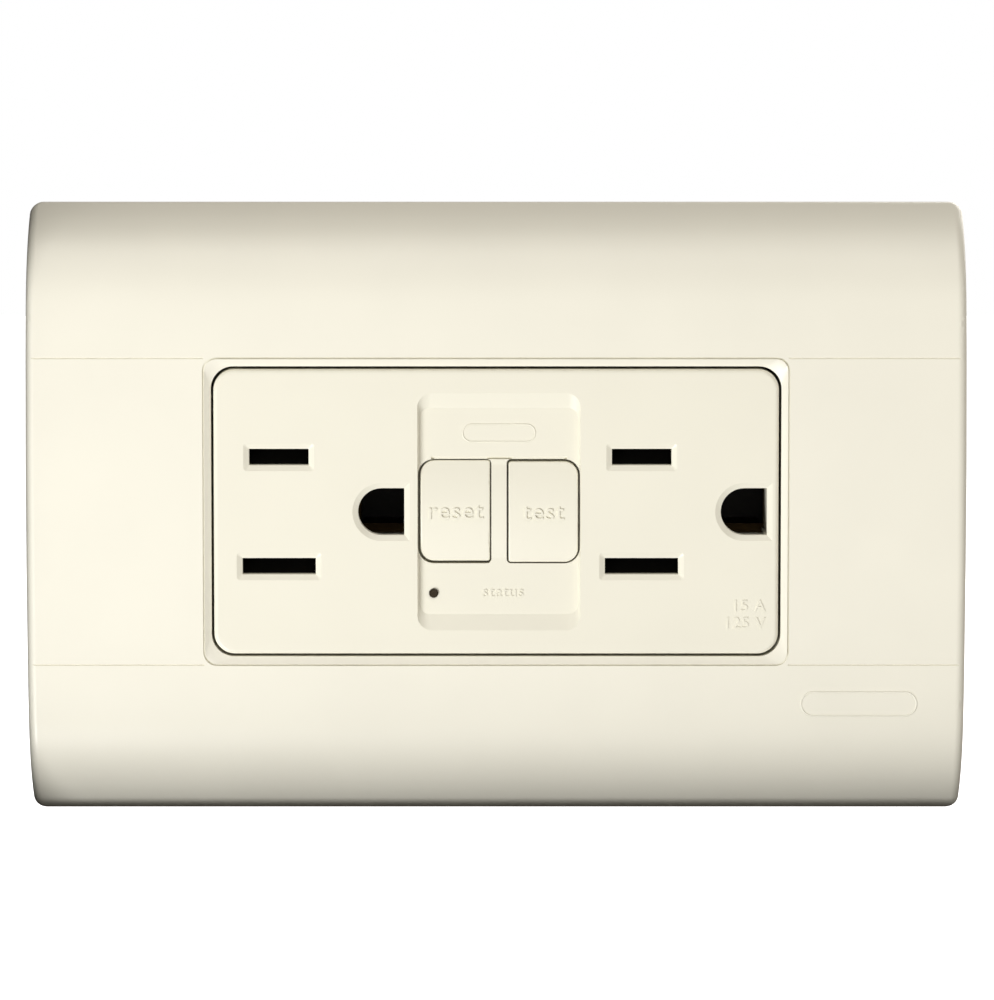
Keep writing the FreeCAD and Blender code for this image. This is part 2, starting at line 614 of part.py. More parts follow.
def solenoid_frame():
    """A U of sheet steel round the coil; its front plate guides the plunger's nose."""
    t = 0.8
    front = box((SOLENOID_X[1], SOLENOID_X[1] + t), (11.0, BOARD_Y[0]), (-4.6, 4.6))
    rear = box((SOLENOID_X[0] - t, SOLENOID_X[0]), (11.0, BOARD_Y[0]), (-4.6, 4.6))
    base = box((SOLENOID_X[0] - t, SOLENOID_X[1] + t), (BOARD_Y[0] - t, BOARD_Y[0]), (-4.6, 4.6))
    nose = rod(1.1, (SOLENOID_X[1] - 1, LATCH_Y, 0), (SOLENOID_X[1] + 2, LATCH_Y, 0))
    return join(front, rear, base).cut(nose)


def plunger():
    core = rod(1.8, (-28.0, LATCH_Y, 0), (-19.0, LATCH_Y, 0))
    nose = rod(0.9, (-19.0, LATCH_Y, 0), (LATCH_X[0] - 0.1, LATCH_Y, 0))
    return join(core, nose)


def plunger_spring():
    return coil_spring(1.35, 0.18, (-19.0, LATCH_Y, 0), (SOLENOID_X[1], LATCH_Y, 0), 6)


def transformer_housing():
    """A moulded cup that holds the two toroids, open at its back and with a hole for the line bars."""
    cup = rod(8.6, (TOROID_X, 11.9, 0), (TOROID_X, BOARD_Y[0], 0))
    cup = cup.cut(rod(7.7, (TOROID_X, 12.8, 0), (TOROID_X, BOARD_Y[0] + 1, 0)))
    core = rod(3.7, (TOROID_X, 11.9, 0), (TOROID_X, BOARD_Y[0], 0))
    return join(cup, core).cut(rod(2.9, (TOROID_X, 5, 0), (TOROID_X, 25, 0)))


def toroid(y):
    """A wound ring with rounded shoulders."""
    ends = (TOROID_X, y[0], 0), (TOROID_X, y[1], 0)
    ring = rod(7.4, *ends).cut(rod(4.1, *ends))
    return ring.makeFillet(1.0, [e for e in ring.Edges if e.Length > 20])


# ----------------------------------------------------------------- test circuit

TEST_LEAF_X, TEST_LEAF_Y = (1.5, 17.5), (5.0, 5.4)


def test_leaf():
    return box(TEST_LEAF_X, TEST_LEAF_Y, (-1.6, 1.6))


def test_posts():
    """The leaf's foot and the fixed test contact, both standing on the deck."""
    foot = box((TEST_LEAF_X[1] + 0.1, TEST_LEAF_X[1] + 1.7), (TEST_LEAF_Y[0], DECK_Y[0]), (-1.6, 1.6))
    pad = box((1.6, 3.6), (7.7, DECK_Y[0]), (-1.2, 1.2))
    return [foot, pad]


# -------------------------------------------------------------------- buttons


def key_outline(x, outer_side, grow, y):
    """A button's outline: large radii on the side away from the other button."""
    big, small = KEY_OUTER_R + grow, KEY_INNER_R + grow
    radii = [big, small, small, big] if outer_side > 0 else [small, big, big, small]
    return slab(KEY_W + 2 * grow, KEY_H + 2 * grow, radii, y, x)


def crown():
    """The convex surface shared by both buttons and the rib between them, as a cylinder along X."""
    centre = CROWN_TOP + CROWN_RADIUS
    return rod(CROWN_RADIUS, (-20, centre, 0), (20, centre, 0))


def button(x, outer_side, seat, stem_r, stem_end):
    cap = key_outline(x, outer_side, 0, (-9, -4.4)).common(crown())
    cap.translate(V(seat[0], 0, seat[1]))
    front = [e for e in cap.Edges if e.BoundBox.YMin < -7.2 and e.BoundBox.YMax < -7.0]
    cap = cap.makeFillet(0.18, front)
    flange = box((x - KEY_W / 2 - 0.35, x + KEY_W / 2 + 0.35), (-5.8, -5.0), (-6.5, 6.5))
    pocket = rod(3.2, (x, -5.6, 0), (x, -4, 0))
    body = join(cap, flange).cut(pocket)
    if stem_end is None:
        return body
    stem = rod(stem_r, (x, -6.0, 0), (x, stem_end - 0.6, 0))
    tip = rod(0.5, (x, -6, 0), (x, stem_end, 0))
    return join(body, stem, tip)


def reset_button():
    socket = rod(PIN_R, (RESET_X, -7.0, 0), (RESET_X, -4, 0))
    return button(RESET_X, -1, RESET_SEAT, 0, None).cut(socket)


def test_button():
    return button(TEST_X, 1, TEST_SEAT, 1.2, TEST_LEAF_Y[0] - 0.12)


PIN_R, NECK_R = 1.2, 0.7


def reset_pin():
    """Steel pin with a waist where the latch plate crosses it and a head that the latch catches."""
    return join(
        rod(PIN_R, (RESET_X, -7.0, 0), (RESET_X, 12.1, 0)),
        rod(NECK_R, (RESET_X, 12.1, 0), (RESET_X, 16.8, 0)),
        rod(PIN_R, (RESET_X, 16.8, 0), (RESET_X, 17.6, 0)),
        cone(PIN_R, 0.5, (RESET_X, 17.6, 0), (RESET_X, 18.3, 0)),
    )


def button_spring(x):
    return coil_spring(2.25, 0.34, (x, -5.6, 0), (x, STRAP_DROP - STRAP_T, 0), 5)


# ----------------------------------------------------------- indicator light


def light_pipe():
    pipe = rod(LIGHT_R, (LIGHT_X, -7.95, LIGHT_Z), (LIGHT_X, 17.2, LIGHT_Z))
    foot = cone(LIGHT_R, 1.2, (LIGHT_X, 16.0, LIGHT_Z), (LIGHT_X, 17.2, LIGHT_Z))
    return join(pipe, foot)


def status_led():
    dome = Part.makeSphere(1.4, V(LIGHT_X, 18.8, LIGHT_Z))
    body = rod(1.4, (LIGHT_X, 18.8, LIGHT_Z), (LIGHT_X, 20.1, LIGHT_Z))
    rim = rod(1.7, (LIGHT_X, 20.1, LIGHT_Z), (LIGHT_X, BOARD_Y[0], LIGHT_Z))
    return join(dome, body, rim)


# ------------------------------------------------------------------- shutters

SHUTTER_Y = (-6.6, -4.95)
SHUTTER_HALF_W, SHUTTER_TRAVEL = 5.3, 2.3
SHUTTER_Z = (-8.7, 10.5)
SHUTTER_LIP = 0.5


def shutter(x):
    """A slide that covers both blade slots; a blade in each slot pushes its ramps down and aside."""
    plate = box((x - SHUTTER_HALF_W, x + SHUTTER_HALF_W), SHUTTER_Y, SHUTTER_Z)
    cuts = []
    for slot_z in (BLADE_Z, -BLADE_Z):
        low, high = slot_z - SLOT_GAP / 2, slot_z + SLOT_GAP / 2
        half = NEUTRAL_SLOT / 2 + 0.2
        window = (high + 0.1, high + 0.1 + SHUTTER_TRAVEL)
        cuts.append(box((x - half, x + half), (-8, 0), window))
        ramp = [(SHUTTER_Y[0] - 0.1, low - 0.1), (SHUTTER_Y[0] - 0.1, window[1]), (SHUTTER_Y[1] - 0.3, window[0])]
        cuts.append(polygon_along_x(ramp, (x - half, x + half)))
    cuts.append(box((x - SHUTTER_HALF_W - 1, x - SHUTTER_HALF_W + SHUTTER_LIP), (-5.75, 0), (-20, 20)))
    cuts.append(box((x + SHUTTER_HALF_W - SHUTTER_LIP, x + SHUTTER_HALF_W + 1), (-5.75, 0), (-20, 20)))
    return plate.cut(cuts)


def shutter_rails(x):
    """Two rails behind the cover's front wall whose hooks hold the shutter's edges."""
    rails = []
    for side in (1, -1):
        near, far = x + side * (SHUTTER_HALF_W + 0.1), x + side * (SHUTTER_HALF_W + 0.6)
        wall = box((near, far), (-7.0, -5.0), (-12.0, 12.0))
        hook = box((near - side * 0.5, far), (-5.7, -5.0), (-12.0, 12.0))
        rails += [wall, hook]
    stop_z = (SHUTTER_Z[1] + 0.05, SHUTTER_Z[1] + 0.85)
    rails.append(box((x - 5, x + 5), (-7.0, -5.4), stop_z))
    return rails


def shutter_spring(x):
    """A light spring between the shutter's lower end and the cover's lower wall."""
    wall_z = -FACE_H / 2 + 1.6
    return coil_spring(0.62, 0.12, (x, -5.9, wall_z), (x, -5.9, SHUTTER_Z[0]), 7)


# ----------------------------------------------------- moulded cover and housing


def slot_cutter(x, z, length):
    """A blade slot with a bevelled mouth."""
    y_bevel = FACE_FRONT + LEAD_IN_DEPTH
    through = box((x - length / 2, x + length / 2), (FACE_FRONT - 1, 1), (z - SLOT_GAP / 2, z + SLOT_GAP / 2))
    mouth = tapered(
        rounded_outline(length + 2 * LEAD_IN, SLOT_GAP + 2 * LEAD_IN, 0.35, FACE_FRONT, x, z),
        rounded_outline(length, SLOT_GAP, 0.05, y_bevel, x, z),
    )
    return [through, mouth]


def pin_outline(x, grow, y):
    """The U-shaped outline of a grounding hole, round towards the blades."""
    r, flat = PIN_HOLE_R + grow, PIN_HOLE_FLAT + grow
    top, bottom = V(x, y, r), V(x, y, -r)
    return Part.Wire(
        [
            Part.Arc(top, V(x - r, y, 0), bottom).toShape(),
            Part.makeLine(bottom, V(x + flat, y, -r)),
            Part.makeLine(V(x + flat, y, -r), V(x + flat, y, r)),
            Part.makeLine(V(x + flat, y, r), top),
        ]
    )


def pin_cutter(x):
    through = Part.Face(pin_outline(x, 0, FACE_FRONT - 1)).extrude(V(0, 12, 0))
    mouth = tapered(pin_outline(x, LEAD_IN, FACE_FRONT), pin_outline(x, 0, FACE_FRONT + LEAD_IN_DEPTH))
    return [through, mouth]


def panel_cutter():
    """The recess round the buttons: steep at its sides, a gentle ramp at its top and bottom."""
    floor = FACE_FRONT + PANEL_DEPTH
    return tapered(
        rounded_outline(PANEL_W, PANEL_H, PANEL_R, FACE_FRONT, PANEL_X),
        rounded_outline(PANEL_W - 0.5, PANEL_H - 2 * PANEL_RAMP, PANEL_R - 0.5, floor, PANEL_X),
    )


def key_lip():
    """The bevel where the panel's floor meets the top of the two button openings."""
    floor, top = FACE_FRONT + PANEL_DEPTH, KEY_H / 2 + KEY_GAP
    ends = (RESET_X - KEY_W / 2 + 1.3, TEST_X + KEY_W / 2 - 1.3)
    section = [(floor + KEY_LIP, top), (floor - 0.2, top), (floor - 0.2, top + KEY_LIP + 0.2)]
    return polygon_along_x(section, ends)


def key_rib():
    """The crowned bar between the two buttons."""
    left = RESET_X + KEY_W / 2 + KEY_GAP
    right = TEST_X - KEY_W / 2 - KEY_GAP
    half = KEY_H / 2 + KEY_GAP
    return box((left, right), (-9, -6.5), (-half, half)).common(crown())


BOSS_X, BOSS_Z, BOSS_R = 31.3, 18.0, 2.6


def body_bosses(y):
    """Corner posts for the housing screws, trimmed to the body's outline."""
    posts = [rod(BOSS_R, (sx * BOSS_X, y[0], sz * BOSS_Z), (sx * BOSS_X, y[1], sz * BOSS_Z)) for sx, sz in CORNERS]
    outline = slab(BODY_W, BODY_H, BODY_R, y)
    return [post.common(outline) for post in posts]


CORNERS = ((1, 1), (1, -1), (-1, 1), (-1, -1))


def face_cover():
    nose = slab(FACE_W, FACE_H, FACE_R, (FACE_FRONT, 0))
    rim = [e for e in nose.Edges if abs(e.BoundBox.YMax - FACE_FRONT) < 1e-6]
    nose = nose.makeFillet(FACE_ROUND, rim)
    shoulder = slab(BODY_W, BODY_H, BODY_R, (BODY_FRONT, BODY_SEAM))
    cover = join(nose, shoulder)
    cavity = slab(FACE_W - 3.2, FACE_H - 3.2, 1.2, (FACE_FRONT + FACE_WALL, 0.6))
    pan = slab(BODY_W - 2 * BODY_WALL, BODY_H - 2 * BODY_WALL, 1.2, (0.6, BODY_SEAM + 1))
    cover = cover.cut([cavity, pan])
    backing = box((PANEL_X - 10.8, PANEL_X + 10.8), (-7.2, -5.9), (-FACE_H / 2 + 1, FACE_H / 2 - 1))
    rails = [rail for x in BLADE_X for rail in shutter_rails(x)]
    cover = join(cover, backing, *rails, *body_bosses((0.0, BODY_SEAM)))
    cuts = [panel_cutter()]
    for x, z_side, length in [(x, 1, HOT_SLOT) for x in BLADE_X] + [(x, -1, NEUTRAL_SLOT) for x in BLADE_X]:
        cuts += slot_cutter(x, z_side * BLADE_Z, length)
    for x in pin_x():
        cuts += pin_cutter(x)
    cuts.append(key_outline(RESET_X, -1, KEY_GAP, (-10, -5)))
    cuts.append(key_outline(TEST_X, 1, KEY_GAP, (-10, -5)))
    cuts.append(key_lip())
    cuts.append(rod(LIGHT_R + SLIP, (LIGHT_X, -10, LIGHT_Z), (LIGHT_X, 0, LIGHT_Z)))
    cover = join(cover.cut(cuts), key_rib())
    notch = [box((s * 30, s * 40), (STRAP_DROP - STRAP_T - SLIP, 5), (-11.1, 11.1)) for s in (1, -1)]
    screws = []
    for sx, sz in CORNERS:
        x, z = sx * BOSS_X, sz * BOSS_Z
        screws.append(rod(SCREW_SMALL_R + SLIP, (x, -0.6, z), (x, 5, z)))
    return cover.cut(notch + screws)


SCREW_SMALL_R = 1.2
POCKET_X, POCKET_Y, POCKET_FLOOR = (16.5, 27.5), (8.2, 18.8), 16.4


def pocket_boxes(grow, z, y):
    """One box per terminal pocket, grown outwards by the given amount in X."""
    boxes = []
    for sx, sz in CORNERS:
        x = (sx * (POCKET_X[0] - grow), sx * (POCKET_X[1] + grow))
        boxes.append(box(x, y, (sz * z[0], sz * z[1])))
    return boxes


def rear_housing():
    shell = slab(BODY_W, BODY_H, BODY_R, (BODY_SEAM, BODY_BACK))
    back_edges = [e for e in shell.Edges if abs(e.BoundBox.YMin - BODY_BACK) < 1e-6]
    shell = shell.makeFillet(1.0, back_edges)
    cavity = slab(BODY_W - 2 * BODY_WALL, BODY_H - 2 * BODY_WALL, 1.2, (BODY_SEAM - 1, BODY_BACK - 1.6))
    shell = shell.cut(cavity)
    towers = pocket_boxes(1.2, (POCKET_FLOOR - 1.2, BODY_H / 2 - 0.5), (7.0, BODY_BACK - 1))
    board_posts = [
        rod(1.8, (x, BOARD_Y[1], z), (x, BODY_BACK - 1, z)) for x in (-30, 0, 29.5) for z in (-12, 12)
    ]
    shell = join(shell, *towers, *body_bosses((BODY_SEAM, BODY_BACK - 1)), *board_posts)
    cuts = pocket_boxes(0, (POCKET_FLOOR, BODY_H), POCKET_Y)
    for sx, sz in CORNERS:
        x = sx * TERMINAL_X
        cuts.append(rod(2.0, (x, TERMINAL_Y, sz * 10), (x, TERMINAL_Y, sz * 20)))
        for dx in (-3.0, 3.0):
            cuts.append(slab(3.2, 3.2, 0.5, (POCKET_Y[1] - 1, BODY_BACK + 1), x + dx, sz * 18.8))
        cuts.append(box((x - 8.0, x + 4.6), (8.9, 9.7), (sz * 15, sz * 17)))
        cuts.append(box((x - 2.1, x + 2.1), (17.3, 18.1), (sz * 15, sz * 17)))
        cuts.append(rod(SCREW_SMALL_R + SLIP, (sx * BOSS_X, 0, sz * BOSS_Z), (sx * BOSS_X, 30, sz * BOSS_Z)))
        cuts.append(rod(2.3, (sx * BOSS_X, BODY_BACK - 1.8, sz * BOSS_Z), (sx * BOSS_X, 30, sz * BOSS_Z)))
    cuts += [box((s * 30, s * 40), (0, STRAP_DROP + SLIP), (-11.1, 11.1)) for s in (1, -1)]
    return shell.cut(cuts)


def housing_screws():
    """Four long screws from the back of the housing into the cover."""
    screws = []
    for sx, sz in CORNERS:
        x, z = sx * BOSS_X, sz * BOSS_Z
        head = cone(1.9, 2.2, (x, BODY_BACK - 0.4, z), (x, BODY_BACK - 1.1, z))
        rim = rod(2.2, (x, BODY_BACK - 1.8, z), (x, BODY_BACK - 1.1, z))
        shank = rod(SCREW_SMALL_R, (x, -0.5, z), (x, BODY_BACK - 1.8, z))
        slots = [
            box((x - a, x + a), (BODY_BACK - 1.3, BODY_BACK + 1), (z - b, z + b)) for a, b in ((1.4, 0.3), (0.3, 1.4))
        ]
        screws.append(join(head, rim, shank).cut(slots))
    return screws


def inner_outline(y, margin):
    """The space inside the housing, less a margin, the corner posts and the terminal towers."""
    plate = slab(BODY_W - 2 * BODY_WALL - 2 * margin, BODY_H - 2 * BODY_WALL - 2 * margin, 1.0, y)
    posts = [rod(BOSS_R + margin, (sx * BOSS_X, 0, sz * BOSS_Z), (sx * BOSS_X, 30, sz * BOSS_Z)) for sx, sz in CORNERS]
    return plate.cut(posts + pocket_boxes(1.2 + margin, (POCKET_FLOOR - 1.2 - margin, BODY_H), (0, 30)))


def contact_deck():
    """The moulded shelf between the blade contacts and the circuit."""
    deck = inner_outline(DECK_Y, 0.2)
    ribs = [box((-5, 13), (3.0, DECK_Y[0]), (s * 9.9, s * 10.7)) for s in (1, -1)]
    cuts = [rod(1.6, (RESET_X, 5, 0), (RESET_X, 15, 0)), rod(0.8, (LIGHT_X, 5, LIGHT_Z), (LIGHT_X, 15, LIGHT_Z))]
    cuts += [box((-16, -9), (5, 15), (s * 8.0, s * 15.6)) for s in (1, -1)]
    return join(deck, *ribs).cut(cuts)


def circuit_board():
    board = inner_outline(BOARD_Y, 0.3)
    cuts = []
    for side in (1, -1):
        cuts.append(box((-TERMINAL_X - 1.2, -TERMINAL_X + 1.2), (15, 25), (side * 13.2, side * 14.4)))
        cuts.append(box((TOROID_X - 1.5, TOROID_X + 1.5), (15, 25), (side * 0.7, side * 2.1)))
    return board.cut(cuts)


# ------------------------------------------------------------ board components


def varistor():
    disc = rod(4.2, (-25.0, 15.7, 7.2), (-25.0, 15.7, 10.4))
    return disc.makeFillet(1.0, [e for e in disc.Edges if e.Length > 20])


def leads(points, bottom, radius=0.3):
    """Straight component legs that stop on the board."""
    return [rod(radius, (x, bottom, z), (x, BOARD_Y[0], z)) for x, z in points]


def capacitors():
    film = box((-30.0, -20.5), (12.6, BOARD_Y[0] - 0.5), (-11.6, -6.6))
    film = film.makeFillet(0.6, film.Edges)
    can = rod(2.5, (4.0, 14.2, -13.4), (4.0, BOARD_Y[0] - 0.3, -13.4))
    can = can.makeFillet(0.4, [e for e in can.Edges if e.Length > 10])
    return [film, can, *leads([(-27.8, -9.1), (-22.7, -9.1)], BOARD_Y[0] - 0.5)]


def thyristor():
    """A small moulded package: round with one flat side."""
    body = rod(2.3, (-12.0, 15.0, 7.5), (-12.0, 19.3, 7.5)).cut(box((-16, -8), (10, 25), (8.7, 12)))
    return join(body, *leads([(-13.2, 7.3), (-12.0, 7.3), (-10.8, 7.3)], 19.3, 0.25))


def controller_chip():
    body = box((-6.6, -0.6), (19.0, 20.3), (9.6, 13.4))
    pins = []
    for i in range(4):
        x = -5.5 + i * 1.27
        pins += [box((x - 0.2, x + 0.2), (19.9, BOARD_Y[0]), (9.0, 9.8)), box((x - 0.2, x + 0.2), (19.9, BOARD_Y[0]), (13.2, 14.0))]
    return join(body, *pins)


def resistor(x, z):
    """A wire-ended resistor lying along X, its two leads bent down to the board."""
    y = BOARD_Y[0] - 1.4
    body = rod(1.1, (x, y, z), (x + 6.0, y, z))
    wire = box((x - 1.3, x + 7.3), (y - 0.25, y + 0.25), (z - 0.25, z + 0.25))
    legs = [box((a, a + 0.5), (y, BOARD_Y[0]), (z - 0.25, z + 0.25)) for a in (x - 1.3, x + 6.8)]
    return join(body, wire, *legs)


def small_components():
    """The test resistor, diodes in a row and surface-mounted chips, each a separate solid."""
    diodes = [rod(0.9, (29.3, BOARD_Y[0] - 0.9, z), (29.3, BOARD_Y[0] - 0.9, z + 3.2)) for z in (-10, -4.5, 1, 6.5)]
    chips = [
        box((x, x + 2.0), (BOARD_Y[0] - 0.6, BOARD_Y[0]), (z, z + 1.25))
        for x in (-6.5, -1.0, 3.0)
        for z in (-7.4, 5.6)
    ]
    return [resistor(2.6, 11.5), *diodes, *chips]


def export(name, shapes):
    shapes = shapes if isinstance(shapes, list) else [shapes]
    solids = [solid for shape in shapes for solid in shape.Solids]
    for solid in solids:
        if not solid.isValid() or solid.Volume <= 0:
            raise ValueError(f"{name} holds a bad solid")
    whole = solids[0] if len(solids) == 1 else Part.makeCompound(solids)
    whole.exportStep(f"parts/{name}.step")


def main():
    os.makedirs("parts", exist_ok=True)
    nodes = {
        "wall_plate": wall_plate(),
        "mounting_frame": mounting_frame(),
        "frame_screws": frame_screws(),
        "mounting_strap": mounting_strap(),
        "box_screws": box_screws(),
        "ground_contacts": ground_contacts(),
        "ground_contact_rivets": ground_contact_rivets(),
        "ground_clamp": clamp_plate(GROUND_TAB_X, GROUND_Y, GROUND_TAB_Z, -1),
        "ground_screw": terminal_screw(GROUND_TAB_X, GROUND_Y, GROUND_TAB_Z, -1, 5.0, hexagonal=True),
        "face_cover": face_cover(),
        "reset_button": reset_button(),
        "reset_pin": reset_pin(),
        "reset_spring": button_spring(RESET_X),
        "test_button": test_button(),
        "test_spring": button_spring(TEST_X),
        "test_leaf": test_leaf(),
        "test_posts": test_posts(),
        "light_pipe": light_pipe(),
        "status_led": status_led(),
        "fixed_contact_rivets": fixed_contact_rivets(),
        "contact_deck": contact_deck(),
        "circuit_board": circuit_board(),
        "transformer_housing": transformer_housing(),
        "line_bars": [line_bar(1), line_bar(-1)],
        "sensing_toroids": [toroid((12.9, 16.1)), toroid((16.5, 19.7))],
        "solenoid_bobbin": solenoid_bobbin(),
        "solenoid_coil": solenoid_coil(),
        "solenoid_frame": solenoid_frame(),
        "plunger": plunger(),
        "plunger_spring": plunger_spring(),
        "contact_lifter": contact_lifter(),
        "latch_plate": latch_plate(),
        "latch_spring": latch_spring(),
        "lifter_springs": lifter_springs(),
        "shutter_left": shutter(BLADE_X[0]),
        "shutter_right": shutter(BLADE_X[1]),
        "shutter_spring_left": shutter_spring(BLADE_X[0]),
        "shutter_spring_right": shutter_spring(BLADE_X[1]),
        "varistor": varistor(),
        "capacitors": capacitors(),
        "semiconductors": [thyristor(), controller_chip()],
        "small_components": small_components(),
        "rear_housing": rear_housing(),
        "housing_screws": housing_screws(),
    }
    for pole, side in (("hot", 1), ("neutral", -1)):
        nodes[f"{pole}_contact_bar"] = contact_bar(side)
        nodes[f"{pole}_line_terminal"] = line_terminal(side)
        nodes[f"{pole}_load_terminal"] = load_terminal(side)
        nodes[f"{pole}_contact_arm"] = contact_arm(side)
        for end, x in (("line", -TERMINAL_X), ("load", TERMINAL_X)):
            place = (x, TERMINAL_Y, side * TERMINAL_FACE, side)
            nodes[f"{pole}_{end}_clamp"] = clamp_plate(*place)
            nodes[f"{pole}_{end}_screw"] = terminal_screw(*place, 5.0)
    for name, shapes in nodes.items():
        export(name, shapes)


main()
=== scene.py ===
"""Looks for the ground-fault outlet: edges, lettering, windings, springs, finishes and a small studio."""

import math

import bpy
from mathutils import Matrix, Vector


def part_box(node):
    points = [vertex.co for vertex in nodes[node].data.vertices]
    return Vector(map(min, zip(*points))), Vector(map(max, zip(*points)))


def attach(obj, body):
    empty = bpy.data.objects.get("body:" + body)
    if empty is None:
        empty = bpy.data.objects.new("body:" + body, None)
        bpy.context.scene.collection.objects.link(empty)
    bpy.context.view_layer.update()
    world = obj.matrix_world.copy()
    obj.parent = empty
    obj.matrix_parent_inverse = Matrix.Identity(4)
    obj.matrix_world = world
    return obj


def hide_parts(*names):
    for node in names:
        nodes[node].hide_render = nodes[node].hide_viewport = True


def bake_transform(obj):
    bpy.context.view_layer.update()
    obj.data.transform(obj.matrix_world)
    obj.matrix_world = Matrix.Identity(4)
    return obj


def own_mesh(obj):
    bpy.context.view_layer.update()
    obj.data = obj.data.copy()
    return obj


MM = 0.001

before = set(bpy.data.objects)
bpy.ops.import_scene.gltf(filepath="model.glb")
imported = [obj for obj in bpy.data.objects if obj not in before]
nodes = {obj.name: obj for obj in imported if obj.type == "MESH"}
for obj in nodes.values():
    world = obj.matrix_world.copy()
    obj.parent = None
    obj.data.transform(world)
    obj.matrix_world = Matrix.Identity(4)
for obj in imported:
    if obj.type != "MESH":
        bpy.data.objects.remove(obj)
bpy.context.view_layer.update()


# ------------------------------------------------------------------ materials

PLASTIC_IOR = 1.49


def principled(name, colour, roughness, metallic=0.0):
    """A material with a Principled shader; returns it with its tree and shader."""
    material = bpy.data.materials.new(name)
    material.use_nodes = True
    tree = material.node_tree
    shader = tree.nodes["Principled BSDF"]
    shader.inputs["Base Color"].default_value = (*colour, 1)
    shader.inputs["Roughness"].default_value = roughness
    shader.inputs["Metallic"].default_value = metallic
    return material, tree, shader


def noise(tree, scale, detail=3.0, stretch=(1, 1, 1)):
    """Noise in object space, with its scale per metre; a stretch below one draws it out along that axis."""
    coords = tree.nodes.new("ShaderNodeTexCoord")
    mapping = tree.nodes.new("ShaderNodeMapping")
    mapping.inputs["Scale"].default_value = stretch
    texture = tree.nodes.new("ShaderNodeTexNoise")
    texture.inputs["Scale"].default_value = scale
    texture.inputs["Detail"].default_value = detail
    tree.links.new(coords.outputs["Object"], mapping.inputs["Vector"])
    tree.links.new(mapping.outputs["Vector"], texture.inputs["Vector"])
    return texture.outputs["Fac"]


def vary(tree, source, low, high):
    """Spreads a noise, which mostly lies between 0.3 and 0.7, from low to high."""
    spread = tree.nodes.new("ShaderNodeMapRange")
    spread.inputs["From Min"].default_value = 0.3
    spread.inputs["From Max"].default_value = 0.7
    spread.inputs["To Min"].default_value = low
    spread.inputs["To Max"].default_value = high
    tree.links.new(source, spread.inputs["Value"])
    return spread.outputs["Result"]


def tint(tree, source, first, second):
    """A colour between two, by the source."""
    mix = tree.nodes.new("ShaderNodeMix")
    mix.data_type = "RGBA"
    mix.inputs["A"].default_value = (*first, 1)
    mix.inputs["B"].default_value = (*second, 1)
    tree.links.new(source, mix.inputs["Factor"])
    return mix.outputs["Result"]


def bump(tree, shader, source, height):
    """Relief of the height in metres, at half its strength."""
    node = tree.nodes.new("ShaderNodeBump")
    node.inputs["Distance"].default_value = height
    node.inputs["Strength"].default_value = 0.5
    tree.links.new(source, node.inputs["Height"])
    tree.links.new(node.outputs["Normal"], shader.inputs["Normal"])


def plastic(name, colour, roughness, grain=2500, depth=0.004, mottling=0.02, shine=0.5):
    """Moulded plastic: a fine grain in the surface, slow mottling in the colour, slightly uneven gloss."""
    material, tree, shader = principled(name, colour, roughness)
    shader.inputs["IOR"].default_value = PLASTIC_IOR
    shader.inputs["Specular IOR Level"].default_value = shine
    slow = noise(tree, 90, 2)
    darker = [c * (1 - mottling) for c in colour]
    lighter = [min(1, c * (1 + mottling)) for c in colour]
    tree.links.new(tint(tree, vary(tree, slow, 0, 1), darker, lighter), shader.inputs["Base Color"])
    fine = noise(tree, grain, 4)
    tree.links.new(vary(tree, fine, roughness - 0.04, roughness + 0.04), shader.inputs["Roughness"])
    bump(tree, shader, fine, depth * MM)
    return material


def metal(name, colour, roughness, grain=(1, 1, 1), tarnish=0.12):
    """Bare or plated metal with fine marks drawn out along one axis and a faint tarnish."""
    material, tree, shader = principled(name, colour, roughness, 1.0)
    slow = noise(tree, 260, 4)
    dull = [c * (1 - tarnish) for c in colour]
    tree.links.new(tint(tree, vary(tree, slow, 0, 1), dull, colour), shader.inputs["Base Color"])
    fine = noise(tree, 2200, 3, grain)
    tree.links.new(vary(tree, fine, roughness - 0.07, roughness + 0.09), shader.inputs["Roughness"])
    bump(tree, shader, fine, 0.004 * MM)
    return material


IVORY = (0.87, 0.85, 0.74)
FACE_IVORY = (0.853, 0.832, 0.712)

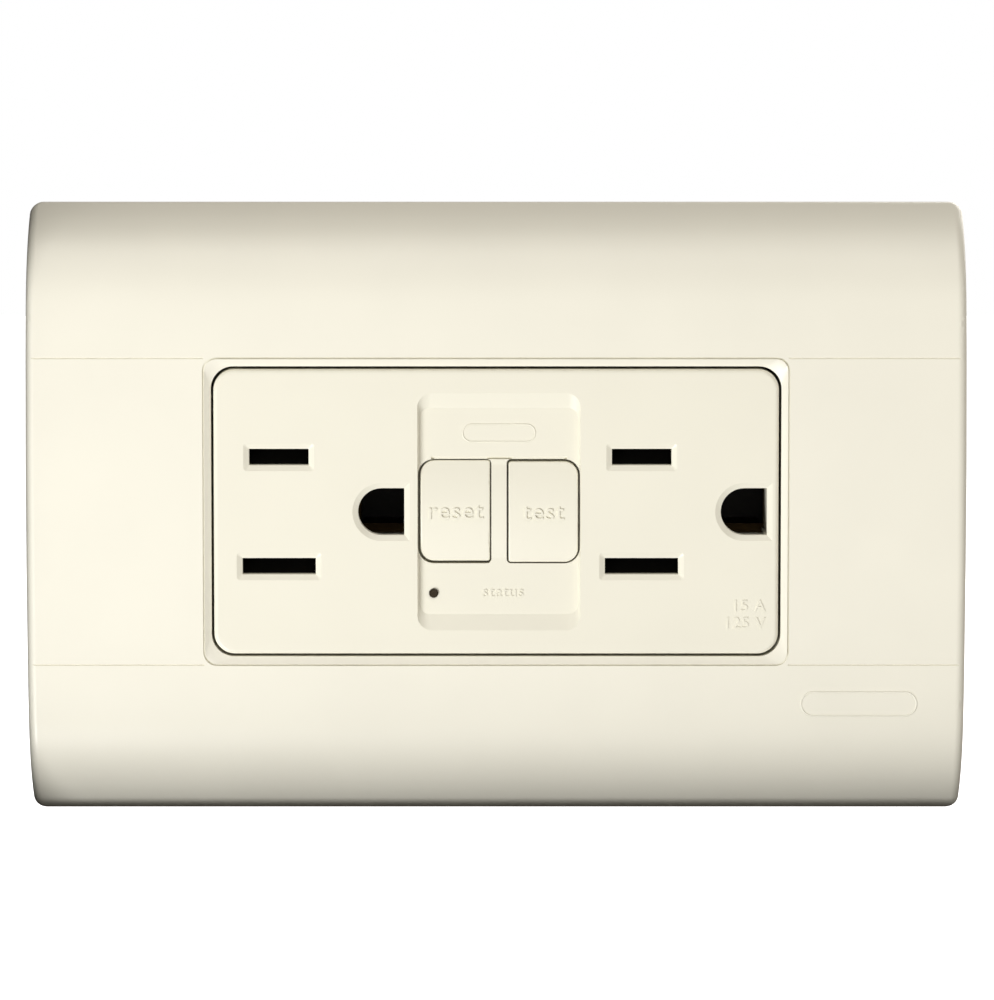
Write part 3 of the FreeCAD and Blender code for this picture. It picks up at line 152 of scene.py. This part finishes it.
LOOKS = {
    "plate": plastic("plate_ivory", IVORY, 0.36, grain=1800, depth=0.006, mottling=0.012),
    "face": plastic("face_ivory", FACE_IVORY, 0.34, grain=2600, depth=0.004, mottling=0.01),
    # Painted shade: the shutters are made near black, with little shine, so that the slots read as dark.
    "shutter": plastic("shutter_painted_shade", (0.002, 0.0018, 0.0015), 0.8, mottling=0.1, shine=0.08),
    "frame": plastic("frame_cream", (0.70, 0.66, 0.55), 0.5, grain=1500, depth=0.01),
    "housing": plastic("housing_cream", (0.74, 0.70, 0.58), 0.46, grain=1400, depth=0.012),
    "black": plastic("inner_black", (0.022, 0.021, 0.023), 0.45),
    "nylon": plastic("nylon", (0.78, 0.75, 0.66), 0.4),
    "zinc": metal("zinc_plate", (0.62, 0.62, 0.60), 0.34, grain=(0.15, 1, 1)),
    "wire": metal("spring_wire", (0.55, 0.55, 0.56), 0.26),
    "brass": metal("brass", (0.80, 0.58, 0.27), 0.30, grain=(0.2, 1, 1)),
    "bronze": metal("dark_bronze", (0.10, 0.065, 0.03), 0.5, grain=(0.2, 1, 1), tarnish=0.4),
    "nickel": metal("nickel", (0.70, 0.68, 0.64), 0.28, grain=(0.2, 1, 1)),
    "silver": metal("silver", (0.86, 0.85, 0.82), 0.22),
    "copper": metal("enamelled_copper", (0.66, 0.27, 0.10), 0.24, tarnish=0.2),
    "green": metal("green_dyed", (0.05, 0.30, 0.12), 0.34),
    "board": plastic("solder_mask", (0.02, 0.16, 0.06), 0.3, grain=900, depth=0.01, mottling=0.12),
    "orange": plastic("varistor_coat", (0.72, 0.24, 0.03), 0.35, grain=700, depth=0.02),
    "chip": plastic("package_black", (0.02, 0.02, 0.022), 0.5, grain=3200, depth=0.008),
    "red": plastic("capacitor_red", (0.42, 0.05, 0.03), 0.32, grain=600, depth=0.02),
}


def smoked_plastic():
    """Dark clear plastic, as the unlit indicator shows."""
    material, tree, shader = principled("smoked_acrylic", (0.035, 0.024, 0.012), 0.2)
    shader.inputs["Transmission Weight"].default_value = 0.15
    shader.inputs["IOR"].default_value = PLASTIC_IOR
    fine = noise(tree, 1800, 3)
    tree.links.new(vary(tree, fine, 0.12, 0.3), shader.inputs["Roughness"])
    return material


LOOKS["smoked"] = smoked_plastic()



def pole_metal(pole):
    """The bare metal nodes of one pole."""
    return [n for n in nodes if n.startswith(pole) and n.split("_")[-1] in ("bar", "terminal", "screw")]


FINISH = {
    "plate": ["wall_plate"],
    "face": ["face_cover", "reset_button", "test_button"],
    "shutter": ["shutter_left", "shutter_right"],
    "frame": ["mounting_frame"],
    "housing": ["rear_housing"],
    "black": ["contact_deck", "transformer_housing"],
    "nylon": ["solenoid_bobbin", "contact_lifter"],
    "zinc": [
        "mounting_strap",
        "box_screws",
        "frame_screws",
        "housing_screws",
        "solenoid_frame",
        "plunger",
        "latch_plate",
        "reset_pin",
        "ground_clamp",
        *[f"{pole}_{end}_clamp" for pole in ("hot", "neutral") for end in ("line", "load")],
    ],
    "wire": [n for n in nodes if "spring" in n],
    "bronze": ["ground_contacts", "ground_contact_rivets"],
    "brass": [
        "test_leaf",
        "test_posts",
        "line_bars",
        "hot_contact_arm",
        "neutral_contact_arm",
        *pole_metal("hot_"),
    ],
    "nickel": pole_metal("neutral_"),
    "silver": ["fixed_contact_rivets"],
    "copper": ["solenoid_coil", "sensing_toroids"],
    "green": ["ground_screw"],
    "board": ["circuit_board"],
    "orange": ["varistor"],
    "chip": ["semiconductors"],
    "red": ["capacitors", "small_components"],
    "smoked": ["light_pipe", "status_led"],
}

for look, members in FINISH.items():
    for member in members:
        mesh = nodes[member].data
        mesh.materials.clear()
        mesh.materials.append(LOOKS[look])


# ------------------------------------------------------------------ fine edges


def crease_tool(angle):
    """A node group that smooths a mesh but keeps its edges sharper than the angle."""
    group = bpy.data.node_groups.new("creases", "GeometryNodeTree")
    group.interface.new_socket("Geometry", in_out="INPUT", socket_type="NodeSocketGeometry")
    group.interface.new_socket("Geometry", in_out="OUTPUT", socket_type="NodeSocketGeometry")
    start = group.nodes.new("NodeGroupInput")
    end = group.nodes.new("NodeGroupOutput")
    smooth = group.nodes.new("GeometryNodeSetShadeSmooth")
    crease = group.nodes.new("GeometryNodeSetShadeSmooth")
    crease.domain = "EDGE"
    crease.inputs["Shade Smooth"].default_value = False
    edge_angle = group.nodes.new("GeometryNodeInputMeshEdgeAngle")
    sharper = group.nodes.new("FunctionNodeCompare")
    sharper.operation = "GREATER_THAN"
    sharper.inputs["B"].default_value = math.radians(angle)
    group.links.new(start.outputs["Geometry"], smooth.inputs["Geometry"])
    group.links.new(smooth.outputs["Geometry"], crease.inputs["Geometry"])
    group.links.new(edge_angle.outputs["Unsigned Angle"], sharper.inputs["A"])
    group.links.new(sharper.outputs["Result"], crease.inputs["Selection"])
    group.links.new(crease.outputs["Geometry"], end.inputs["Geometry"])
    return group


CREASES = crease_tool(20)
SHARP_ANGLE = 30
WELD_GAP = 0.0005


def shade(obj, width):
    """Welds a node's faces, rounds its sharp edges by the width in millimetres, and evens out its shading."""
    weld = obj.modifiers.new("weld", "WELD")
    weld.merge_threshold = WELD_GAP * MM
    if width:
        bevel = obj.modifiers.new("edge", "BEVEL")
        bevel.width = width * MM
        bevel.segments = 2
        bevel.limit_method = "ANGLE"
        bevel.angle_limit = math.radians(SHARP_ANGLE)
        bevel.use_clamp_overlap = True
        bevel.miter_outer = "MITER_ARC"
    crease = obj.modifiers.new("crease", "NODES")
    crease.node_group = CREASES
    even = obj.modifiers.new("even", "WEIGHTED_NORMAL")
    even.mode = "FACE_AREA"
    even.weight = 100
    even.keep_sharp = True


ROUNDED = {"mounting_frame": 0.12, "mounting_strap": 0.08, "rear_housing": 0.12}
for name, obj in nodes.items():
    shade(obj, ROUNDED.get(name, 0.0))


# ----------------------------------------------------------- wires and windings


def add_mesh(name, verts, faces, look, body, smooth=True):
    """A new piece from points in millimetres; it rides the body when one is given."""
    mesh = bpy.data.meshes.new(name)
    mesh.from_pydata([Vector(v) * MM for v in verts], [], faces)
    mesh.validate()
    mesh.update()
    for polygon in mesh.polygons:
        polygon.use_smooth = smooth
    mesh.materials.append(LOOKS[look])
    piece = bpy.data.objects.new(name, mesh)
    bpy.context.scene.collection.objects.link(piece)
    if body:
        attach(piece, body)
    return piece


def tube(points, radius, sides, closed):
    """Points and faces of a round tube along the points; its two ends are capped, or it closes on itself."""
    count = len(points)
    verts, faces = [], []
    across = None
    for i, point in enumerate(points):
        before = points[i - 1] if closed or i else point
        after = points[(i + 1) % count] if closed or i < count - 1 else point
        along = (after - before).normalized()
        if across is None:
            across = along.orthogonal()
        across = (across - along * across.dot(along)).normalized()
        third = along.cross(across)
        for k in range(sides):
            turn = 2 * math.pi * k / sides
            verts.append(point + (across * math.cos(turn) + third * math.sin(turn)) * radius)
    for i in range(count if closed else count - 1):
        this, following = i * sides, (i + 1) % count * sides
        for k in range(sides):
            m = (k + 1) % sides
            faces.append((this + k, this + m, following + m, following + k))
    if not closed:
        faces.append(tuple(reversed(range(sides))))
        faces.append(tuple(range((count - 1) * sides, count * sides)))
    return verts, faces


def wire(name, points, radius, look, body, sides=8, closed=False):
    """A round wire of the radius along the points, as a piece of its own."""
    return add_mesh(name, *tube(points, radius, sides, closed), look, body)


AXES = {
    "x": (Vector((1, 0, 0)), Vector((0, 1, 0))),
    "y": (Vector((0, 1, 0)), Vector((0, 0, 1))),
    "z": (Vector((0, 0, 1)), Vector((1, 0, 0))),
}


def helix(start, axis, radius, length, turns, dead_turns=0.0, dead_pitch=0.0, steps=20):
    """Points of a helix; its first and last turns may lie closer together than the rest."""
    up, across = AXES[axis]
    third = up.cross(across)
    open_pitch = (length - 2 * dead_turns * dead_pitch) / (turns - 2 * dead_turns)
    points = []
    for i in range(int(turns * steps) + 1):
        t = i / steps
        low_part = min(t, dead_turns)
        high_part = max(0.0, t - (turns - dead_turns))
        height = (low_part + high_part) * dead_pitch + (t - low_part - high_part) * open_pitch
        angle = 2 * math.pi * t
        points.append(start + up * height + (across * math.cos(angle) + third * math.sin(angle)) * radius)
    return points


def corners(node):
    """A node's lowest and highest corner in millimetres."""
    low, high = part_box(node)
    return Vector(low) / MM, Vector(high) / MM


CLOSED_TURNS = 0.9
CLOSED_PITCH = 2.05  # in wire radii


def spring(name, node, axis, wire_radius, turns, body, middle=None, outer=None):
    """A coil spring with closed ends that stands where the node is."""
    low, high = corners(node)
    k = "xyz".index(axis)
    side = (k + 1) % 3
    outer = outer or (high[side] - low[side]) / 2
    middle = middle or (low + high) / 2
    start = middle.copy()
    start[k] = low[k] + wire_radius
    length = high[k] - low[k] - 2 * wire_radius
    pitch = CLOSED_PITCH * wire_radius
    points = helix(start, axis, outer - wire_radius, length, turns, CLOSED_TURNS, pitch)
    piece = wire(name, points, wire_radius, "wire", body)
    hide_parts(node)
    return piece, low, high


def pressed_spring(node, axis, wire_radius, turns, body):
    """A coil spring where the node is, with a mesh of its own."""
    piece, low, high = spring(node + "_coil", node, axis, wire_radius, turns, body)
    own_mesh(piece)


pressed_spring("reset_spring", "y", 0.30, 6, "receptacle")
pressed_spring("test_spring", "y", 0.30, 6, "receptacle")
pressed_spring("plunger_spring", "x", 0.17, 7, "receptacle")
pressed_spring("latch_spring", "x", 0.15, 6, "lifter")
pressed_spring("shutter_spring_left", "z", 0.12, 9, "receptacle")
pressed_spring("shutter_spring_right", "z", 0.12, 9, "receptacle")


def carriage_springs():
    """Two springs under the contact carriage."""
    low, high = corners("lifter_springs")
    outer = (high.x - low.x) / 2
    for side, name in ((1, "upper"), (-1, "lower")):
        middle = Vector(((low.x + high.x) / 2, 0, side * (high.z - outer)))
        piece = spring(f"carriage_spring_{name}", "lifter_springs", "y", 0.2, 6, None, middle, outer)[0]
        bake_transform(piece)


carriage_springs()


LEAF_TIP_R = 1.6
LEAF_BLUNTNESS = 0.12
LEAF_TAPER = 0.25
LEAF_TAPER_LENGTH = 8.0
LEAF_DISH = 0.12
LEAF_DISH_SPREAD = 0.8  # the square of the dish's radius
LEAF_COLUMNS, LEAF_ROWS = 40, 8


def leaf_points(low, high):
    """Two layers of points, front and back, each in columns along X from the free end and rows across Z."""
    points = []
    for y in (low.y, high.y):
        for i in range(LEAF_COLUMNS + 1):
            x = low.x + (high.x - low.x) * i / LEAF_COLUMNS
            rounding = math.sqrt(max(0.0, 1 - (1 - min(1.0, (x - low.x) / LEAF_TIP_R)) ** 2))
            taper = 1 - LEAF_TAPER * min(1.0, (x - low.x) / LEAF_TAPER_LENGTH) ** 2
            half = (high.z - low.z) / 2 * max(LEAF_BLUNTNESS, rounding) * taper
            for j in range(LEAF_ROWS + 1):
                z = half * (2 * j / LEAF_ROWS - 1)
                from_contact = (x - low.x - LEAF_TIP_R) ** 2 + z * z
                points.append((x, y + LEAF_DISH * max(0.0, 1 - from_contact / LEAF_DISH_SPREAD), z))
    return points


def leaf_faces():
    """Faces that close the leaf's two layers of points into one strip."""

    def at(layer, i, j):
        return (layer * (LEAF_COLUMNS + 1) + i) * (LEAF_ROWS + 1) + j

    faces = []
    last_i, last_j = LEAF_COLUMNS, LEAF_ROWS
    for i in range(last_i):
        for j in range(last_j):
            faces.append((at(0, i, j), at(0, i + 1, j), at(0, i + 1, j + 1), at(0, i, j + 1)))
            faces.append((at(1, i, j), at(1, i, j + 1), at(1, i + 1, j + 1), at(1, i + 1, j)))
        faces.append((at(0, i, 0), at(1, i, 0), at(1, i + 1, 0), at(0, i + 1, 0)))
        faces.append((at(0, i + 1, last_j), at(1, i + 1, last_j), at(1, i, last_j), at(0, i, last_j)))
    for j in range(last_j):
        faces.append((at(0, 0, j), at(0, 0, j + 1), at(1, 0, j + 1), at(1, 0, j)))
        faces.append((at(0, last_i, j), at(1, last_i, j), at(1, last_i, j + 1), at(0, last_i, j + 1)))
    return faces


def test_leaf():
    """A thin brass leaf, riveted at its foot and dished where its contact is."""
    low, high = corners("test_leaf")
    leaf = add_mesh("test_leaf_strip", leaf_points(low, high), leaf_faces(), "brass", None, smooth=False)
    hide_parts("test_leaf")
    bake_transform(leaf)


test_leaf()


COIL_GAUGE = 0.13
COIL_PITCH = 0.27
COIL_SEAT = 0.04  # how far the wire stands out of the solid coil


def solenoid_winding():
    """The outer layer of enamelled wire on the solenoid's coil."""
    low, high = corners("solenoid_coil")
    centre = (low + high) / 2
    radius = (high.y - low.y) / 2 - COIL_GAUGE + COIL_SEAT
    start = Vector((low.x + COIL_GAUGE, centre.y, centre.z))
    length = high.x - low.x - 2 * COIL_GAUGE
    points = helix(start, "x", radius, length, int(length / COIL_PITCH), steps=24)
    wire("solenoid_winding", points, COIL_GAUGE, "copper", "receptacle", 6)


solenoid_winding()

CORE_BORE_R = 4.1
CORE_GAP = 0.3
CORE_GAUGE = 0.14
CORE_TURNS = 64
CORE_SEAT = 0.02
LOOP_STEPS = 20
LOOP_SQUARENESS = 0.35
LOOP_LEAN = 0.8  # how much of the way to the next turn each loop leans


def squared(value):
    """A sine or cosine pushed out, so that a circle becomes a square with round corners."""
    return math.copysign(abs(value) ** LOOP_SQUARENESS, value)


def core_winding(name, middle_x, outer, y):
    """Wire wrapped round a sensing core that lies between the two y values, a closed loop for each turn."""
    middle_r, half_r = (outer + CORE_BORE_R) / 2, (outer - CORE_BORE_R) / 2 + CORE_SEAT
    middle_y, half_y = (y[0] + y[1]) / 2, (y[1] - y[0]) / 2 + CORE_SEAT
    verts, faces = [], []
    for turn in range(CORE_TURNS):
        points = []
        for step in range(LOOP_STEPS):
            t = 2 * math.pi * step / LOOP_STEPS
            r = middle_r + half_r * squared(math.cos(t))
            angle = 2 * math.pi / CORE_TURNS * (turn + LOOP_LEAN * step / LOOP_STEPS)
            height = middle_y + half_y * squared(math.sin(t))
            points.append(Vector((middle_x + r * math.cos(angle), height, r * math.sin(angle))))
        loop_verts, loop_faces = tube(points, CORE_GAUGE, 5, closed=True)
        faces += [tuple(len(verts) + i for i in face) for face in loop_faces]
        verts += loop_verts
    add_mesh(name, verts, faces, "copper", "receptacle")


def toroid_windings():
    """The windings of the two sensing cores, which stand one behind the other."""
    low, high = corners("sensing_toroids")
    middle_x = (low.x + high.x) / 2
    outer = (high.z - low.z) / 2
    thick = (high.y - low.y - CORE_GAP) / 2
    core_winding("toroid_winding_front", middle_x, outer, (low.y, low.y + thick))
    core_winding("toroid_winding_rear", middle_x, outer, (high.y - thick, high.y))


toroid_windings()

BOX_SCREW_HEAD_R = 3.2
BOX_SCREW_SHANK_R = 1.62
BOX_SCREW_PLAIN_TO = 3.0
BOX_SCREW_POINT = 0.9
BOX_SCREW_PITCH = 0.79


def box_screw_threads():
    """The thread of each box screw, as one ridge round its shank."""
    high = corners("box_screws")[1]
    length = high.y - BOX_SCREW_POINT - BOX_SCREW_PLAIN_TO
    for side, name in ((1, "right"), (-1, "left")):
        start = Vector((side * (high.x - BOX_SCREW_HEAD_R), BOX_SCREW_PLAIN_TO, 0))
        points = helix(start, "y", BOX_SCREW_SHANK_R, length, length / BOX_SCREW_PITCH, steps=24)
        wire(f"box_screw_thread_{name}", points, BOX_SCREW_PITCH * 0.3, "zinc", "receptacle", 6)


box_screw_threads()


# ------------------------------------------------------- marks, badges and ribs

IN_FRONT = -40  # a y ahead of everything, in millimetres


def surface_point(node, x, z):
    """The y in millimetres where a line along +Y at (x, z) first meets the node."""
    hit, place, _, _ = nodes[node].ray_cast(Vector((x, IN_FRONT, z)) * MM, Vector((0, 1, 0)))
    return place.y / MM if hit else 0.0


def rounded_outline(centre, half_w, half_h, radius, steps):
    """Points (x, z) round a rectangle; its half sizes reach to the centres of its corner arcs."""
    points = []
    for sx, sz, first in ((1, 1, 0), (-1, 1, 90), (-1, -1, 180), (1, -1, 270)):
        for step in range(steps + 1):
            angle = math.radians(first + 90 * step / steps)
            x = centre[0] + sx * half_w + radius * math.cos(angle)
            z = centre[1] + sz * half_h + radius * math.sin(angle)
            points.append((x, z))
    return points


def badge(name, node, centre, size, radius, line, body, look):
    """A blank badge: a fine raised line round a lozenge, laid on the node's front."""
    outline = rounded_outline(centre, size[0] / 2 - radius, size[1] / 2 - radius, radius, 8)
    points = [Vector((x, surface_point(node, x, z), z)) for x, z in outline]
    wire(name, points, line, look, body, 8, closed=True)


badge("plate_badge", "wall_plate", (42.1, -22.4), (13.4, 2.8), 1.39, 0.11, "wall_plate", "plate")
badge("panel_badge", "face_cover", (0.33, 9.1), (8.4, 2.0), 0.99, 0.09, "receptacle", "face")


def lettering(text, size, relief, centre, body, align):
    """Raised letters that face along -Y, at (x, y, z) in millimetres."""
    curve = bpy.data.curves.new(f"{text}_letters", "FONT")
    curve.body = text
    curve.size = size * MM
    curve.align_x = align
    curve.align_y = "CENTER"
    curve.extrude = relief * MM
    curve.resolution_u = 5
    curve.space_character = 1.08
    holder = bpy.data.objects.new("holder", curve)
    bpy.context.scene.collection.objects.link(holder)
    bpy.context.view_layer.update()
    mesh = bpy.data.meshes.new_from_object(holder.evaluated_get(bpy.context.evaluated_depsgraph_get()))
    bpy.data.objects.remove(holder)
    mesh.transform(Matrix.Rotation(math.radians(90), 4, "X"))
    mesh.transform(Matrix.Translation(Vector(centre) * MM))
    letters = bpy.data.objects.new("letters_" + text.replace(" ", "_"), mesh)
    bpy.context.scene.collection.objects.link(letters)
    mesh.materials.clear()
    mesh.materials.append(LOOKS["face"])
    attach(letters, body)


for text, node, body, size, relief, x, z, align in (
    ("reset", "reset_button", "reset_key", 2.9, 0.14, -4.75, 0.0, "CENTER"),
    ("test", "test_button", "test_key", 2.9, 0.14, 5.46, -0.1, "CENTER"),
    ("status", "face_cover", "receptacle", 1.9, 0.10, 0.8, -9.4, "CENTER"),
    ("15 A", "face_cover", "receptacle", 1.9, 0.09, 31.2, -11.0, "RIGHT"),
    ("125 V", "face_cover", "receptacle", 1.9, 0.09, 31.2, -13.0, "RIGHT"),
):
    lettering(text, size, relief, (x, surface_point(node, x, z), z), body, align)


def housing_details():
    """Raised lines on the housing's back: a frame for a blank label and a bar as long as wire is stripped."""
    back = corners("rear_housing")[1].y
    for name, half_w, half_h, z in (("label_frame", 17.0, 8.0, 2.0), ("strip_gauge", 5.5, 0.9, -11.5)):
        points = [Vector((px, back, pz)) for px, pz in rounded_outline((0, z), half_w, half_h, 0.6, 6)]
        wire(name, points, 0.16, "housing", "receptacle", 8, closed=True)


housing_details()


# --------------------------------------------------------------------- studio


def area_light(name, direction, distance, size, energy, colour=(1, 1, 1)):
    """A softbox that looks at the origin from the given direction."""
    data = bpy.data.lights.new(name, "AREA")
    data.shape = "RECTANGLE"
    data.size, data.size_y = size
    data.energy = energy
    data.color = colour
    light = bpy.data.objects.new(name, data)
    bpy.context.scene.collection.objects.link(light)
    towards = Vector(direction).normalized()
    light.location = towards * distance
    light.rotation_euler = (-towards).to_track_quat("-Z", "Y").to_euler()


area_light("key", (-0.7, -1.0, -0.7), 0.62, (0.3, 0.3), 3.5)
area_light("rear", (0.6, 1.0, 0.5), 0.7, (0.5, 0.5), 2.4, (1, 0.98, 0.95))
area_light("top", (0.1, -0.75, 1.0), 0.7, (0.5, 0.3), 1.05, (1, 0.97, 0.93))
area_light("right", (1.0, -0.45, 0.25), 0.7, (0.3, 0.3), 0.4, (1, 0.97, 0.93))


def studio_world():
    """Soft warm light from all round, seen by the camera as plain white."""
    world = bpy.data.worlds.new("studio")
    bpy.context.scene.world = world
    world.use_nodes = True
    tree = world.node_tree
    glow = tree.nodes["Background"]
    glow.inputs["Color"].default_value = (1.0, 0.94, 0.87, 1)
    glow.inputs["Strength"].default_value = 0.36
    white = tree.nodes.new("ShaderNodeBackground")
    white.inputs["Color"].default_value = (1, 1, 1, 1)
    white.inputs["Strength"].default_value = 1.0
    path = tree.nodes.new("ShaderNodeLightPath")
    choose = tree.nodes.new("ShaderNodeMixShader")
    tree.links.new(path.outputs["Is Camera Ray"], choose.inputs["Fac"])
    tree.links.new(glow.outputs["Background"], choose.inputs[1])
    tree.links.new(white.outputs["Background"], choose.inputs[2])
    tree.links.new(choose.outputs["Shader"], tree.nodes["World Output"].inputs["Surface"])


studio_world()


def stage_plane(name, points, material, seen):
    """A flat sheet of the studio: the floor, which is seen, or a card that only shades and reflects."""
    mesh = bpy.data.meshes.new(name)
    mesh.from_pydata([Vector(point) * MM for point in points], [], [(0, 1, 2, 3)])
    mesh.materials.append(material)
    sheet = bpy.data.objects.new(name, mesh)
    bpy.context.scene.collection.objects.link(sheet)
    sheet.visible_camera = seen
    sheet.visible_shadow = not seen
    sheet.visible_diffuse = not seen
    sheet.visible_glossy = not seen
    sheet.visible_transmission = False


floor_white, _, floor_shader = principled("floor_white", (0.9, 0.9, 0.9), 0.8)
floor_shader.inputs["Emission Color"].default_value = (1, 1, 1, 1)
floor_shader.inputs["Emission Strength"].default_value = 1.0
floor_corners = [(-900, -900, -80), (900, -900, -80), (900, 1500, -80), (-900, 1500, -80)]
stage_plane("floor", floor_corners, floor_white, True)

CARD_BACK = 20
CARD_HALF_W = 90
CARD_HALF_H = 50
black_card = principled("black_card", (0.02, 0.02, 0.02), 0.9)[0]


def level_card(name, y, z):
    """A card below the outlet, from y back to the cards' common rear edge."""
    w = CARD_HALF_W
    stage_plane(name, [(-w, y, z), (w, y, z), (w, CARD_BACK, z), (-w, CARD_BACK, z)], black_card, False)


def upright_card(name, x, y):
    """A card beside the outlet, from y back to the cards' common rear edge."""
    h = CARD_HALF_H
    stage_plane(name, [(x, y, -h), (x, CARD_BACK, -h), (x, CARD_BACK, h), (x, y, h)], black_card, False)


level_card("lower_card", -7.6, -36.6)
level_card("low_card", -46, -60)
upright_card("left_card", -56.5, -11.2)

# Camera: a long lens, a little above the outlet's middle
ELEVATION = math.radians(5.6)
DISTANCE = 0.72
VIEW_SIZE = 0.1163
AIM = Vector((0.1, -5.0, 1.05)) * MM
lens_data = bpy.data.cameras.new("camera")
lens_data.sensor_width = 36
lens_data.lens = lens_data.sensor_width * DISTANCE / VIEW_SIZE
lens_data.clip_start = 0.01
camera = bpy.data.objects.new("camera", lens_data)
bpy.context.scene.collection.objects.link(camera)
back = Vector((0, -math.cos(ELEVATION), math.sin(ELEVATION)))
camera.location = AIM + back * DISTANCE
camera.rotation_euler = (-back).to_track_quat("-Z", "Y").to_euler()
bpy.context.scene.camera = camera
bpy.context.scene.view_settings.view_transform = "Standard"
